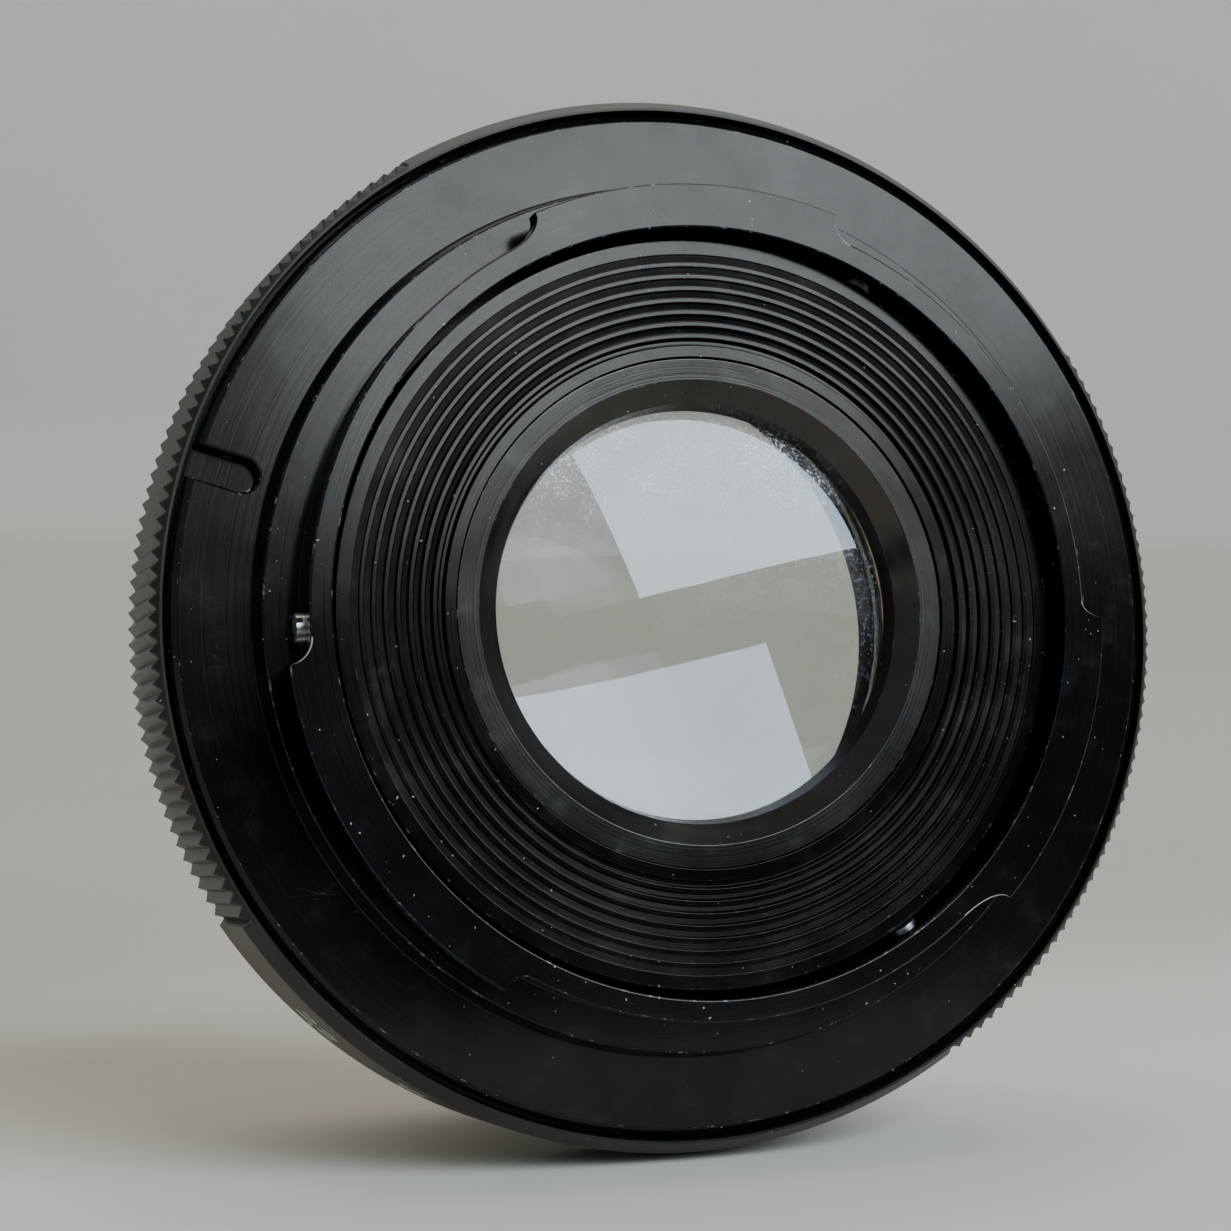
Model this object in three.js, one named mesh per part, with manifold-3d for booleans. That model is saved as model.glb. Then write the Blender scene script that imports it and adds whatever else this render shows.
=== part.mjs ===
// A bayonet-mount enlarger lens with a click-stop iris, in millimetres.
// The optical axis is Y. The bayonet end points along -Y, the front of the lens along +Y, and +Z is up.
// The origin is the centre of the mount flange's seating face. Clock angles run from +X towards +Z.
import * as THREE from "three";
import { mergeVertices } from "three/addons/utils/BufferGeometryUtils.js";
import Module from "manifold-3d";

const wasm = await Module();
wasm.setup();

// ---------------------------------------------------------------- driving dimensions
const SEGMENTS = 48; // facets of every turned piece
const RUN = 0.1; // clearance of a face that turns or slides
const SEAT = 0.05; // clearance of a face that is screwed or laid in place

const FLANGE_R = 29;
const FLANGE_CHAMFER = 0.45;
const FLANGE_THICK = 2;
const BOSS_R = 24.65;
const BOSS_TOP_R = 24.25;
const BOSS_H = 1.7;
const TUBE_R = 22.3;
const TUBE_BORE = 21.1;
const TUBE_H = 5;
const LUG_R = 23.55;
const LUG_THICK = 1.4;
// Each lug from its first to its last full-height clock angle, with the length of each end's curve.
const LUGS = [
  { from: 70.9, to: 114.7, leadIn: 3.6, leadOut: 5.7 },
  { from: 187.2, to: 238.3, leadIn: 3.4, leadOut: 2.2 },
  { from: 316, to: 358.8, leadIn: 7, leadOut: 2.4 },
];
const NOTCH = { angle: 163.2, width: 1.9, innerR: 25.2, depth: 1.3 };
const SET_SCREW = { r: 0.8, y: -2.7, tipR: 20.92, headR: 22.75, slot: 0.3, slotDepth: 0.35 };
const SET_SCREW_ANGLES = [62.3, 182.3, 302.3];

const CELL_R = 20.85;
const CELL_REAR_Y = -3.5;
const CELL_FACE_Y = -3.25;
const CELL_SPIGOT_R = 17;
const CELL_FRONT_Y = 6.6;
const GROOVES = 9;
const GROOVE_PITCH = 0.666;
const GROOVE_FIRST_R = 14.7;
const GROOVE_DEPTH = 0.32;
const RETAINER_R = 14.15;
const REAR_GLASS_R = 13.6;
const REAR_STOP_R = 13.2;
const REAR_SEAT_Y = 4.1;

const RING_R = 30.55;
const RING_KNURL_R = 30.45;
const RING_TAPER = 0.5;
const RING_REAR_Y = 0.15;
const RING_FRONT_Y = 8.9;
const RING_POCKET_R = 29.28;
const RING_BORE = 27.2;
const KNURL_CENTRES = [167.5, 347.5];
const KNURL_SPAN = 91;
const KNURL_TEETH = 54;
const KNURL_DEPTH = 0.38;
const CLICKS = 6;
const CLICK_STEP = 12;
const DETENT = { y: 4.6, ballR: 0.8, rise: 0.2, floorR: 23.2, trackR: 27.5, trackHalf: 1, notchR: 0.9 };

const BARREL_R = RING_BORE - RUN;
const BARREL_REAR_Y = FLANGE_THICK + SEAT;
const IRIS_BORE = 22;
const IRIS_REAR_Y = 6.75;
const COLLAR_R = 28.6;
const COLLAR_Y = [9.05, 11.6];
const BARREL_FRONT_Y = 14;

const BLADES = 6;
const PIVOT_R = 20.2;
const POST_R = 0.4;
const BLADE_INNER_R = 13.2;
const BLADE_OUTER_R = 19.5;
const BLADE_TAB_R = 1;
const BLADE_SPAN = 126;
const BLADE_THICK = 0.12;
const BLADE_PITCH = 0.2;
const BLADE_TURN = 26;
const DRIVE_ANGLE = 15; // from a blade's pivot to its drive pin, about the optical axis
const DRIVE_PIN_R = 0.4;
const RING_TURN = CLICK_STEP * (CLICKS - 1);
const CAM_Y = [6.85, 7.95];
const CAM_R = IRIS_BORE - RUN;
const BLADE_Y = 8.1; // rear face of the rearmost blade
const PLATE_Y = [9.4, 10.2];
const COUPLING = { angle: 218, r: 0.35, y: 7.4, innerR: 20.9, outerR: 28.9 };

const LOCK_RING_BORE = 19;
const FRONT_CELL_Y = [10.28, 21.2];
const FRONT_FLANGE_Y = 11.3;
const FRONT_CELL_R = 22.8;
const FRONT_SHOULDER_R = 24.2;
const FILTER_BORE = 20.2;
const FILTER_FRONT_Y = 27.2;
const MIDDLE_GLASS_R = 15;
const MIDDLE_SEAT_Y = 10.83;
const MIDDLE_LIP_R = 14.4;
const FRONT_GLASS_R = 16;
const FRONT_SEAT_Y = 17.4;
const FRONT_LIP_Y = 18.6;
const FRONT_RETAINER_R = 17.4;

// ---------------------------------------------------------------- helpers
const radians = THREE.MathUtils.degToRad;

const finish = {
  blackAnodised: { color: 0x15161a, roughness: 0.34, metalness: 0.75 },
  blackMatt: { color: 0x0d0e10, roughness: 0.6, metalness: 0.3 },
  blackGloss: { color: 0x0b0b0d, roughness: 0.25, metalness: 0.5 },
  glass: { color: 0xdfe8ee, roughness: 0.03, metalness: 0 },
  steel: { color: 0xb9bcc0, roughness: 0.3, metalness: 1 },
  brass: { color: 0xb08d4a, roughness: 0.35, metalness: 1 },
  blade: { color: 0x1b1c1f, roughness: 0.45, metalness: 0.8 },
};

const lens = new THREE.Group();
lens.name = "enlarger_lens";

function add(name, geometry, look) {
  const mesh = new THREE.Mesh(geometry, new THREE.MeshStandardMaterial(finish[look]));
  mesh.name = name;
  lens.add(mesh);
  return mesh;
}

// A point of the XZ plane at a radius and a clock angle in degrees.
function polar(r, angle) {
  return new THREE.Vector2(r * Math.cos(radians(angle)), r * Math.sin(radians(angle)));
}

// A ring or disc about the optical axis from its section, a loop of [radius, y] corners.
function turned(corners) {
  const loop = corners.map(([r, y]) => new THREE.Vector2(r, y));
  if (!THREE.ShapeUtils.isClockWise(loop)) loop.reverse();
  loop.push(loop[0].clone());
  return new THREE.LatheGeometry(loop.reverse(), SEGMENTS);
}

// A flat piece in the XZ plane between two stations of the axis, with round or shaped holes.
function flat(outline, yLow, yHigh, holes = [], curveSegments = 12) {
  const shape = outline instanceof THREE.Shape ? outline : new THREE.Shape(outline);
  shape.holes.push(...holes);
  const options = { depth: yHigh - yLow, bevelEnabled: false, curveSegments };
  return new THREE.ExtrudeGeometry(shape, options).rotateX(Math.PI / 2).translate(0, yHigh, 0);
}

function hole(centre, r) {
  const path = new THREE.Path();
  path.absarc(centre.x, centre.y, r, 0, 2 * Math.PI, true);
  return path;
}

// A cylinder along the radius at a clock angle, from one radius to another.
function radialPin(r, angle, y, fromR, toR, sides = 16) {
  const pin = new THREE.CylinderGeometry(r, r, toR - fromR, sides);
  pin.rotateZ(-Math.PI / 2).translate((fromR + toR) / 2, 0, 0);
  return pin.rotateY(-radians(angle)).translate(0, y, 0);
}

// A cylinder along the optical axis at a point of the XZ plane.
function axialPin(r, centre, yLow, yHigh, sides = 16) {
  const pin = new THREE.CylinderGeometry(r, r, yHigh - yLow, sides);
  return pin.translate(centre.x, (yLow + yHigh) / 2, centre.y);
}

function solid(geometry) {
  const bare = geometry.index ? geometry.toNonIndexed() : geometry.clone();
  bare.deleteAttribute("normal");
  bare.deleteAttribute("uv");
  const merged = mergeVertices(bare, 1e-4);
  return new wasm.Manifold(
    new wasm.Mesh({
      numProp: 3,
      vertProperties: merged.attributes.position.array,
      triVerts: new Uint32Array(merged.index.array),
    }),
  );
}

function geometryOf(manifold) {
  const mesh = manifold.getMesh();
  return new THREE.BufferGeometry()
    .setAttribute("position", new THREE.BufferAttribute(mesh.vertProperties, 3))
    .setIndex(new THREE.BufferAttribute(mesh.triVerts, 1));
}

// A geometry with others joined to it and then others cut from it.
function shaped(base, joined = [], cut = []) {
  let result = solid(base);
  for (const piece of joined) result = result.add(solid(piece));
  for (const piece of cut) result = result.subtract(solid(piece));
  return geometryOf(result);
}

// Points of a spherical glass surface from the axis out to a radius. Its vertex is at y,
// and a positive curvature radius puts the edge further along +Y.
function sphericalFace(vertexY, curvature, edgeR, steps = 5) {
  const points = [];
  for (let i = 0; i <= steps; i++) {
    const r = (edgeR * i) / steps;
    const sag = Math.abs(curvature) - Math.sqrt(curvature ** 2 - r ** 2);
    points.push([r, vertexY + Math.sign(curvature) * sag]);
  }
  return points;
}

function glassElement(name, rear, front, edgeR) {
  const rearFace = sphericalFace(rear.y, rear.curvature, edgeR);
  const frontFace = sphericalFace(front.y, front.curvature, edgeR);
  const loop = [...rearFace, ...frontFace.reverse()].map(([r, y]) => new THREE.Vector2(r, y));
  add(name, new THREE.LatheGeometry(loop, SEGMENTS), "glass");
}

// ---------------------------------------------------------------- bayonet mount
// A lug's outline: a sector whose ends sweep up from the tube in a hollow curve to a sharp corner.
function lugOutline({ from, to, leadIn, leadOut }) {
  const step = 3;
  const outer = [];
  const swing = (turn) => TUBE_R - 0.15 + (LUG_R - TUBE_R + 0.15) * (1 - Math.cos(radians(turn)));
  const run = (turn) => 1 - Math.sin(radians(turn));
  for (let turn = 0; turn <= 90; turn += 18) outer.push(polar(swing(turn), from - leadIn * run(turn)));
  for (let a = from + step; a < to - step / 2; a += step) outer.push(polar(LUG_R, a));
  for (let turn = 90; turn >= 0; turn -= 18) outer.push(polar(swing(turn), to + leadOut * run(turn)));
  const inner = [];
  const rootR = (TUBE_R + TUBE_BORE) / 2;
  for (let a = to + leadOut; a > from - leadIn; a -= 2 * step) inner.push(polar(rootR, a));
  inner.push(polar(rootR, from - leadIn));
  return [...outer, ...inner];
}

function bayonetMount() {
  const body = turned([
    [TUBE_BORE, FLANGE_THICK],
    [TUBE_BORE, -TUBE_H + 0.1],
    [TUBE_BORE + 0.1, -TUBE_H],
    [TUBE_R - 0.12, -TUBE_H],
    [TUBE_R, -TUBE_H + 0.12],
    [TUBE_R, -BOSS_H],
    [BOSS_TOP_R, -BOSS_H],
    [BOSS_R, 0],
    [FLANGE_R - FLANGE_CHAMFER, 0],
    [FLANGE_R, FLANGE_CHAMFER],
    [FLANGE_R, FLANGE_THICK],
  ]);
  const lugs = LUGS.map((lug) => flat(lugOutline(lug), -TUBE_H + 0.01, -TUBE_H + LUG_THICK));
  const half = NOTCH.width / 2;
  const slot = new THREE.Shape();
  slot.moveTo(FLANGE_R + 1, -half);
  slot.lineTo(FLANGE_R + 1, half);
  slot.lineTo(NOTCH.innerR + half, half);
  slot.absarc(NOTCH.innerR + half, 0, half, Math.PI / 2, (3 * Math.PI) / 2, false);
  const notch = flat(slot, -1, NOTCH.depth).rotateY(-radians(NOTCH.angle));
  const screwHoles = SET_SCREW_ANGLES.map((angle) =>
    radialPin(SET_SCREW.r + SEAT, angle, SET_SCREW.y, TUBE_BORE - 1, LUG_R + 1),
  );
  add("bayonet_mount", shaped(body, lugs, [notch, ...screwHoles]), "blackAnodised");
}

// Slotted screws that lock the mount on the rear cell.
function setScrews() {
  SET_SCREW_ANGLES.forEach((angle, i) => {
    const screw = radialPin(SET_SCREW.r, angle, SET_SCREW.y, SET_SCREW.tipR, SET_SCREW.headR);
    const slot = new THREE.BoxGeometry(2 * SET_SCREW.slotDepth, 3 * SET_SCREW.r, SET_SCREW.slot);
    slot.translate(SET_SCREW.headR, 0, 0).rotateY(-radians(angle)).translate(0, SET_SCREW.y, 0);
    add(`mount_set_screw_${i + 1}`, shaped(screw, [], [slot]), "steel");
  });
}

// ---------------------------------------------------------------- rear cell
function rearCell() {
  const face = [];
  for (let i = GROOVES - 1; i >= 0; i--) {
    const crestR = GROOVE_FIRST_R + i * GROOVE_PITCH;
    const crestY = CELL_FACE_Y + ((CELL_REAR_Y - CELL_FACE_Y) * i) / (GROOVES - 1);
    face.push([crestR, crestY]);
    if (i > 0) face.push([crestR - GROOVE_PITCH / 2, crestY + GROOVE_DEPTH]);
  }
  const body = turned([
    [CELL_R, CELL_REAR_Y],
    ...face,
    [RETAINER_R + SEAT, CELL_FACE_Y],
    [RETAINER_R + SEAT, -0.95],
    [REAR_GLASS_R + SEAT, -0.95],
    [REAR_GLASS_R + SEAT, REAR_SEAT_Y],
    [REAR_STOP_R, REAR_SEAT_Y],
    [REAR_STOP_R, CELL_FRONT_Y],
    [CELL_SPIGOT_R, CELL_FRONT_Y],
    [CELL_SPIGOT_R, FLANGE_THICK],
    [CELL_R, FLANGE_THICK],
  ]);
  add("rear_cell", body, "blackMatt");
  const retainer = [
    [11.5, -1],
    [RETAINER_R, -1],
    [RETAINER_R, -3.1],
    [12.9, -3.05],
    [11.75, -2.1],
  ];
  add("rear_lens_retainer", turned(retainer), "blackAnodised");
  glassElement("rear_crown_element", { y: -2.3, curvature: 50 }, { y: 3.4, curvature: -30 }, REAR_GLASS_R);
  glassElement("rear_flint_element", { y: 3.45, curvature: -30 }, { y: 4.5, curvature: -200 }, REAR_GLASS_R);
}

// ---------------------------------------------------------------- aperture ring
// The knurled band: two arcs of V teeth with plain arcs between them.
function knurlOutline() {
  const points = [];
  const pitch = KNURL_SPAN / KNURL_TEETH;
  for (const centre of KNURL_CENTRES) {
    const start = centre - KNURL_SPAN / 2;
    for (let i = 0; i < KNURL_TEETH; i++) {
      points.push(polar(RING_KNURL_R - KNURL_DEPTH, start + i * pitch));
      points.push(polar(RING_KNURL_R, start + (i + 0.5) * pitch));
    }
    points.push(polar(RING_KNURL_R - KNURL_DEPTH, start + KNURL_SPAN));
    const plain = 180 - KNURL_SPAN;
    const arcSteps = 16;
    for (let i = 0; i <= arcSteps; i++) {
      points.push(polar(RING_R, start + KNURL_SPAN + 0.3 + ((plain - 0.6) * i) / arcSteps));
    }
  }
  return points;
}

// Draws the band's outside in towards its rear, so that the ring is a little wider at the front.
function narrowRear(band, innerR, [yRear, yFront]) {
  const places = band.attributes.position;
  for (let i = 0; i < places.count; i++) {
    const r = Math.hypot(places.getX(i), places.getZ(i));
    if (r < innerR) continue;
    const scale = 1 - (RING_TAPER / r) * ((yFront - places.getY(i)) / (yFront - yRear));
    places.setX(i, places.getX(i) * scale);
    places.setZ(i, places.getZ(i) * scale);
  }
}

function apertureRing() {
  const coreR = RING_KNURL_R - KNURL_DEPTH - RING_TAPER - 0.2;
  const core = turned([
    [RING_POCKET_R, RING_REAR_Y],
    [coreR + 0.1, RING_REAR_Y],
    [coreR + 0.1, RING_FRONT_Y],
    [RING_BORE, RING_FRONT_Y],
    [RING_BORE, DETENT.y + DETENT.trackHalf],
    [DETENT.trackR, DETENT.y + DETENT.trackHalf],
    [DETENT.trackR, DETENT.y - DETENT.trackHalf],
    [RING_BORE, DETENT.y - DETENT.trackHalf],
    [RING_BORE, FLANGE_THICK + 0.3],
    [RING_POCKET_R, FLANGE_THICK + 0.3],
  ]);
  const bandHole = hole(new THREE.Vector2(0, 0), coreR);
  const bandY = [RING_REAR_Y + 0.55, RING_FRONT_Y - 0.5];
  const band = flat(knurlOutline(), ...bandY, [bandHole], SEGMENTS / 2);
  narrowRear(band, coreR + 0.05, bandY);
  const notches = [];
  for (let i = 0; i < CLICKS; i++) {
    const at = polar(DETENT.trackR - 0.55, 90 - i * CLICK_STEP);
    const ends = [DETENT.y - DETENT.trackHalf, DETENT.y + DETENT.trackHalf];
    notches.push(axialPin(DETENT.notchR, at, ...ends, 12));
  }
  const pinHole = radialPin(
    COUPLING.r + SEAT, COUPLING.angle, COUPLING.y, RING_BORE - 1, COUPLING.outerR + SEAT,
  );
  add("aperture_ring", shaped(core, [band], [...notches, pinHole]), "blackAnodised");
  const pin = radialPin(COUPLING.r, COUPLING.angle, COUPLING.y, COUPLING.innerR, COUPLING.outerR);
  add("aperture_coupling_pin", pin, "steel");
}

// ---------------------------------------------------------------- main barrel and click stop
function mainBarrel() {
  const body = turned([
    [CELL_SPIGOT_R + SEAT, BARREL_REAR_Y],
    [BARREL_R, BARREL_REAR_Y],
    [BARREL_R, COLLAR_Y[0]],
    [COLLAR_R, COLLAR_Y[0]],
    [COLLAR_R, COLLAR_Y[1] - 0.4],
    [COLLAR_R - 0.4, COLLAR_Y[1]],
    [FRONT_SHOULDER_R + 1.2, BARREL_FRONT_Y],
    [IRIS_BORE, BARREL_FRONT_Y],
    [IRIS_BORE, IRIS_REAR_Y],
    [CELL_SPIGOT_R + SEAT, IRIS_REAR_Y],
  ]);
  const window = [];
  const margin = 2.4;
  const windowStep = (RING_TURN + 2 * margin) / 12;
  for (const r of [IRIS_BORE - 0.5, BARREL_R + 0.5]) {
    const edge = [];
    for (let i = 0; i <= 12; i++) edge.push(polar(r, COUPLING.angle - margin + i * windowStep));
    window.push(...(r > IRIS_BORE ? edge.reverse() : edge));
  }
  const slot = flat(window, COUPLING.y - COUPLING.r - RUN, COUPLING.y + COUPLING.r + RUN);
  const ballHole = radialPin(DETENT.ballR + SEAT, 90, DETENT.y, DETENT.floorR, BARREL_R + 1);
  add("main_barrel", shaped(body, [], [slot, ballHole]), "blackAnodised");
}

function clickStop() {
  const ballZ = BARREL_R + DETENT.rise - DETENT.ballR;
  const ball = new THREE.SphereGeometry(DETENT.ballR, 12, 8).translate(0, DETENT.y, ballZ);
  add("click_ball", ball, "steel");
  const turns = 4;
  const steps = 9 * turns;
  const wireR = 0.11;
  const coilR = DETENT.ballR - wireR - 0.08;
  const lowZ = DETENT.floorR + wireR + 0.05;
  const highZ = ballZ - DETENT.ballR * 0.75 - wireR;
  class Coil extends THREE.Curve {
    getPoint(t) {
      const a = 2 * Math.PI * turns * t;
      const z = lowZ + (highZ - lowZ) * t;
      return new THREE.Vector3(coilR * Math.cos(a), DETENT.y + coilR * Math.sin(a), z);
    }
  }
  const section = new THREE.Shape();
  section.absarc(0, 0, wireR, 0, 2 * Math.PI, false);
  const options = { steps, extrudePath: new Coil(), curveSegments: 2 };
  add("click_spring", new THREE.ExtrudeGeometry(section, options), "steel");
}

// ---------------------------------------------------------------- iris
const pivotAngle = (k) => (360 / BLADES) * k;

// Where a blade's drive pin is, in the ring's own frame, when the ring has turned by some degrees.
function drivePinInRing(k, ringTurn) {
  const pivot = polar(PIVOT_R, pivotAngle(k));
  const pin = polar(PIVOT_R, pivotAngle(k) + DRIVE_ANGLE);
  pin.rotateAround(pivot, radians((BLADE_TURN / RING_TURN) * ringTurn));
  return pin.rotateAround(new THREE.Vector2(0, 0), -radians(ringTurn));
}

// A slot with round ends along the path of a drive pin.
function camSlot(k) {
  const half = DRIVE_PIN_R + SEAT;
  const steps = 12;
  const over = 1.2; // degrees that the slot runs on past the pin at each end
  const path = [];
  for (let i = 0; i <= steps; i++) {
    path.push(drivePinInRing(k, -over + ((RING_TURN + 2 * over) * i) / steps));
  }
  const left = [];
  const right = [];
  path.forEach((point, i) => {
    const along = path[Math.min(i + 1, steps)].clone().sub(path[Math.max(i - 1, 0)]).normalize();
    left.push(point.clone().add(new THREE.Vector2(-along.y, along.x).multiplyScalar(half)));
    right.push(point.clone().add(new THREE.Vector2(along.y, -along.x).multiplyScalar(half)));
  });
  const cap = (from, centre) =>
    [45, 90, 135].map((a) => from.clone().rotateAround(centre, -radians(a)));
  return new THREE.Path([
    ...left,
    ...cap(left[steps], path[steps]),
    ...right.reverse(),
    ...cap(right[steps], path[0]),
  ]);
}

function camRing() {
  const outline = new THREE.Shape();
  outline.absarc(0, 0, CAM_R, 0, 2 * Math.PI, false);
  const holes = [hole(new THREE.Vector2(0, 0), REAR_STOP_R)];
  for (let k = 0; k < BLADES; k++) holes.push(camSlot(k));
  const ring = flat(outline, CAM_Y[0], CAM_Y[1], holes, SEGMENTS / 2);
  const pinHole = radialPin(
    COUPLING.r + SEAT, COUPLING.angle, COUPLING.y, COUPLING.innerR - SEAT, CAM_R + 1,
  );
  return add("iris_cam_ring", shaped(ring, [], [pinHole]), "brass");
}

// The crescent of one blade, from its pivot round to its rounded tip.
function crescent(k) {
  const start = pivotAngle(k);
  const steps = 12;
  const midR = (BLADE_INNER_R + BLADE_OUTER_R) / 2;
  const outer = [];
  const inner = [];
  for (let i = 0; i <= steps; i++) {
    outer.push(polar(BLADE_OUTER_R, start - 2 + (BLADE_SPAN * i) / steps));
    inner.push(polar(BLADE_INNER_R, start + 1 + (BLADE_SPAN * i) / steps));
  }
  const tip = [
    polar(BLADE_OUTER_R - 1.1, start + BLADE_SPAN + 2),
    polar(midR, start + BLADE_SPAN + 4),
    polar(BLADE_INNER_R + 0.6, start + BLADE_SPAN + 4),
  ];
  const root = [
    polar(BLADE_INNER_R + 0.7, start - 3),
    polar(midR, start - 5.5),
    polar(BLADE_OUTER_R - 1, start - 5),
  ];
  return [...outer, ...tip, ...inner.reverse(), ...root];
}

function irisBlades() {
  for (let k = 0; k < BLADES; k++) {
    const y = BLADE_Y + k * BLADE_PITCH;
    const pivotAt = polar(PIVOT_R, pivotAngle(k));
    const pinAt = polar(PIVOT_R, pivotAngle(k) + DRIVE_ANGLE);
    const plate = flat(crescent(k), y, y + BLADE_THICK);
    const tabs = [pivotAt, pinAt].map((at) => axialPin(BLADE_TAB_R, at, y, y + BLADE_THICK, 20));
    const pin = axialPin(DRIVE_PIN_R, pinAt, CAM_Y[0] + 0.1, y + BLADE_THICK / 2, 12);
    const pivotHole = axialPin(POST_R + SEAT, pivotAt, y - 1, y + 1, 12);
    add(`iris_blade_${k + 1}`, shaped(plate, [...tabs, pin], [pivotHole]), "blade");
  }
}

function irisPlate() {
  const outline = new THREE.Shape();
  outline.absarc(0, 0, IRIS_BORE - SEAT, 0, 2 * Math.PI, false);
  const bore = hole(new THREE.Vector2(0, 0), BLADE_INNER_R);
  const plate = flat(outline, PLATE_Y[0], PLATE_Y[1], [bore], SEGMENTS / 2);
  const posts = [];
  for (let k = 0; k < BLADES; k++) {
    posts.push(axialPin(POST_R, polar(PIVOT_R, pivotAngle(k)), BLADE_Y - 0.05, PLATE_Y[0] + 0.2, 12));
  }
  add("iris_pivot_plate", shaped(plate, posts), "blackMatt");
  const clamp = turned([
    [LOCK_RING_BORE, PLATE_Y[1] + SEAT],
    [IRIS_BORE - SEAT, PLATE_Y[1] + SEAT],
    [IRIS_BORE - SEAT, FRONT_FLANGE_Y - SEAT],
    [LOCK_RING_BORE, FRONT_FLANGE_Y - SEAT],
  ]);
  add("iris_lock_ring", clamp, "brass");
}

// ---------------------------------------------------------------- front cell
function frontCell() {
  const body = turned([
    [MIDDLE_LIP_R, FRONT_CELL_Y[0]],
    [LOCK_RING_BORE - SEAT, FRONT_CELL_Y[0]],
    [LOCK_RING_BORE - SEAT, FRONT_FLANGE_Y],
    [IRIS_BORE - SEAT, FRONT_FLANGE_Y],
    [IRIS_BORE - SEAT, BARREL_FRONT_Y + SEAT],
    [FRONT_SHOULDER_R, BARREL_FRONT_Y + SEAT],
    [FRONT_SHOULDER_R, 16.2],
    [FRONT_CELL_R, 17.4],
    [FRONT_CELL_R, FRONT_CELL_Y[1]],
    [FRONT_RETAINER_R + SEAT, FRONT_CELL_Y[1]],
    [FRONT_RETAINER_R + SEAT, FRONT_LIP_Y],
    [FRONT_GLASS_R + SEAT, FRONT_LIP_Y],
    [FRONT_GLASS_R + SEAT, FRONT_SEAT_Y],
    [MIDDLE_GLASS_R + SEAT, FRONT_SEAT_Y],
    [MIDDLE_GLASS_R + SEAT, MIDDLE_SEAT_Y],
    [MIDDLE_LIP_R, MIDDLE_SEAT_Y],
  ]);
  add("front_cell", body, "blackAnodised");
  glassElement("middle_element", { y: 13.8, curvature: -40 }, { y: 15, curvature: 60 }, MIDDLE_GLASS_R);
  glassElement("front_element", { y: 17.1, curvature: 300 }, { y: 22.1, curvature: -34 }, FRONT_GLASS_R);
  const spacer = [
    [MIDDLE_LIP_R + 0.1, 16.96],
    [MIDDLE_GLASS_R, 16.96],
    [MIDDLE_GLASS_R, FRONT_SEAT_Y - SEAT],
    [MIDDLE_LIP_R + 0.1, FRONT_SEAT_Y - SEAT],
  ];
  add("front_spacer_ring", turned(spacer), "blackMatt");
  const retainer = [
    [15.4, FRONT_LIP_Y + SEAT],
    [FRONT_RETAINER_R, FRONT_LIP_Y + SEAT],
    [FRONT_RETAINER_R, 20.6],
    [16.3, 20.6],
    [15.4, 19.8],
  ];
  add("front_lens_retainer", turned(retainer), "blackAnodised");
  const filterRing = [
    [FILTER_BORE, FRONT_CELL_Y[1] + SEAT],
    [FRONT_CELL_R, FRONT_CELL_Y[1] + SEAT],
    [FRONT_CELL_R, FILTER_FRONT_Y - 0.4],
    [FRONT_CELL_R - 0.4, FILTER_FRONT_Y],
    [FILTER_BORE + 0.3, FILTER_FRONT_Y],
    [FILTER_BORE, FILTER_FRONT_Y - 0.3],
  ];
  add("filter_ring", turned(filterRing), "blackAnodised");
  const trim = [
    [17.7, FRONT_CELL_Y[1] + SEAT],
    [FILTER_BORE - RUN, FRONT_CELL_Y[1] + SEAT],
    [FILTER_BORE - RUN, 22.7],
    [19.5, 22.7],
    [18, 22.2],
    [17.7, 21.9],
  ];
  add("front_trim_ring", turned(trim), "blackGloss");
}

bayonetMount();
setScrews();
rearCell();
apertureRing();
mainBarrel();
clickStop();
camRing();
irisBlades();
irisPlate();
frontCell();

export default lens;
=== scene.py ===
"""Looks for a bayonet-mount enlarger lens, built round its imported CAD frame.

The optical axis is Y. The bayonet faces -Y, which is where the camera is, and the floor is below at -Z.
Turned pieces are revolved finely from sections in millimetres, and clock angles run from +X towards +Z.
"""

import math

import bmesh
import bpy
import numpy as np
from mathutils import Matrix, Vector


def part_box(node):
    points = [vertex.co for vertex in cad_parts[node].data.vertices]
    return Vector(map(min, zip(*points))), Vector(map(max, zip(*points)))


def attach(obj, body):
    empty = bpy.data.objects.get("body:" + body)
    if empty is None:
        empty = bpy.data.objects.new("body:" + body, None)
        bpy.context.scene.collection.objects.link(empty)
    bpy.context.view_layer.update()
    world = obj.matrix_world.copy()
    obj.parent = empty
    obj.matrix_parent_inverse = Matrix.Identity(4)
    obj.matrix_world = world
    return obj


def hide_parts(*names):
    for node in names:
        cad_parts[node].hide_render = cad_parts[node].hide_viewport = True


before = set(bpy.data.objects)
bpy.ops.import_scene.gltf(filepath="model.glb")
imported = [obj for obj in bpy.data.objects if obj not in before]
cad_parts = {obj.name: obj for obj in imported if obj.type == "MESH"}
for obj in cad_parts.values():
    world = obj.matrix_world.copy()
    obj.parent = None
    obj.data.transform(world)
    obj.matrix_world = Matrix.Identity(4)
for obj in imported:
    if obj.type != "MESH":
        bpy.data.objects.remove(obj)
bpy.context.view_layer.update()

MM = 0.001
AXIS_SEGMENTS = 288  # facets of a turned piece
CYLINDER_SIDES = 40  # facets of a screw or a drilled hole
ON_AXIS = 1e-9  # a radius below this is on the optical axis

# ---------------------------------------------------------------- sizes, in millimetres
FLANGE_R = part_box("bayonet_mount")[1].x / MM
FLANGE_FRONT_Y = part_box("bayonet_mount")[1].y / MM
TUBE_REAR_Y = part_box("bayonet_mount")[0].y / MM
TUBE_R = 22.3
TUBE_BORE = 21.1
BOSS_R = 24.65
BOSS_TOP_R = 24.25
BOSS_Y = -1.7
LUG_R = 23.55
LUG_THICK = 1.4
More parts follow.
